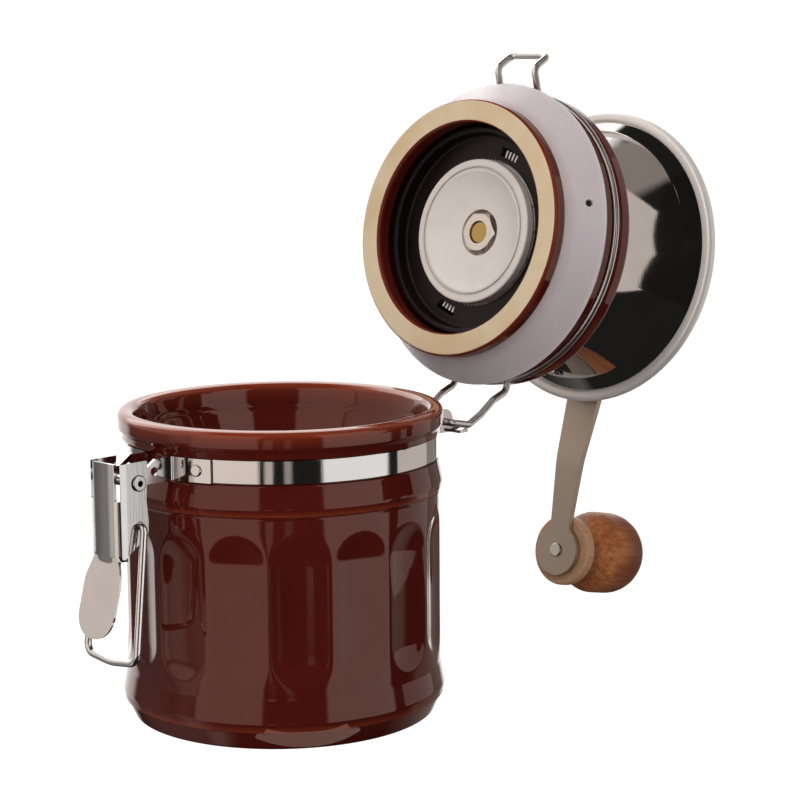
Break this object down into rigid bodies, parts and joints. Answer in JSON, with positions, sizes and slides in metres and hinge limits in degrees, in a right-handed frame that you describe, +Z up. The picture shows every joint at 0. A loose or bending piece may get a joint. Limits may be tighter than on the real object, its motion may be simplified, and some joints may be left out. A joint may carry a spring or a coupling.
{
  "type": "manual coffee grinder",
  "caption": "Hand-cranked coffee mill that is the hinged, latched lid of a glazed ceramic canister, with steel hopper, crank, wooden knob and conical burrs.",
  "frame": {"origin": "centre of the canister's foot, on the surface it stands on", "axes": "+Z up along the canister's axis; +X towards the lid's hinge; the latch is at -X; the lid is open at rest"},
  "size_m": [0.2607, 0.108, 0.213],
  "materials": {
    "brown_glaze": "glossy glaze",
    "bright_steel": "mirror",
    "grey_steel": "satin",
    "yellow_steel": "satin, yellow passivated",
    "silicone": "translucent, matte",
    "black_rubber": "matte",
    "white_plastic": "matte",
    "black_plastic": "matte",
    "burr_ceramic": "matte",
    "wood": "lacquered"
  },
  "bodies": {
    "canister": {"jar": "brown_glaze", "strap_band": "bright_steel", "hinge_bracket": "bright_steel", "hinge_rivets": "bright_steel", "leg_rivets": "bright_steel", "latch_leg_near": "bright_steel", "latch_leg_far": "bright_steel", "latch_pin": "bright_steel"},
    "lever": {"latch_lever": "bright_steel"},
    "bail": {"latch_bail": "bright_steel"},
    "lid": {"lid_body": "brown_glaze", "lid_seal": "silicone", "lid_wire": "bright_steel", "hopper_gasket": "black_rubber", "hopper_bowl": "bright_steel", "hopper_bridge": "grey_steel", "bridge_rivets": "grey_steel", "upper_bush": "white_plastic", "bearing_plate": "grey_steel", "lower_bush": "white_plastic", "housing_screws": "grey_steel", "burr_cover": "black_plastic", "burr_housing": "black_plastic", "ring_burr": "burr_ceramic", "burr_spring": "grey_steel"},
    "adjuster": {"adjust_nut": "grey_steel"},
    "thrust": {"thrust_washer": "grey_steel"},
    "spindle": {"inner_burr": "burr_ceramic", "burr_nut": "grey_steel", "drive_shaft": "yellow_steel", "lock_plate": "grey_steel", "crank_washer": "grey_steel", "crank_arm": "grey_steel", "cap_nut": "grey_steel", "knob_pin": "grey_steel"},
    "grip": {"knob": "wood"}
  },
  "joints": [
    {"name": "lid_hinge", "type": "hinge", "parent": "canister", "child": "lid", "pos_m": [0.0674, 0, 0.088], "axis": [0, -1, 0], "range_deg": [0, 101.9]},
    {"name": "latch_lever_hinge", "type": "hinge", "parent": "canister", "child": "lever", "pos_m": [-0.0668, 0, 0.0858], "axis": [0, 1, 0], "range_deg": [0, 160]},
    {"name": "latch_bail_hinge", "type": "hinge", "parent": "lever", "child": "bail", "pos_m": [-0.0668, 0, 0.0726], "axis": [0, 1, 0], "range_deg": [-24, 182.2]},
    {"name": "crank_spin", "type": "hinge", "parent": "lid", "child": "adjuster", "pos_m": [0.16251, 0, 0.13684], "axis": [0.9785, 0, -0.2062], "continuous": true},
    {"name": "grind_slide", "type": "slide", "parent": "adjuster", "child": "thrust", "axis": [0.9785, 0, -0.2062], "range_m": [0, 0.0008]},
    {"name": "grind_dial", "type": "hinge", "parent": "thrust", "child": "spindle", "pos_m": [0.11026, 0, 0.14785], "axis": [0.9785, 0, -0.2062], "range_deg": [0, 230.4]},
    {"name": "knob_spin", "type": "hinge", "parent": "spindle", "child": "grip", "pos_m": [0.1594, 0, 0.02508], "axis": [0.9785, 0, -0.2062], "continuous": true}
  ],
  "couplings": [
    {"joint": "grind_dial", "follows": "grind_slide", "rad_per_m": 5026.5}
  ]
}
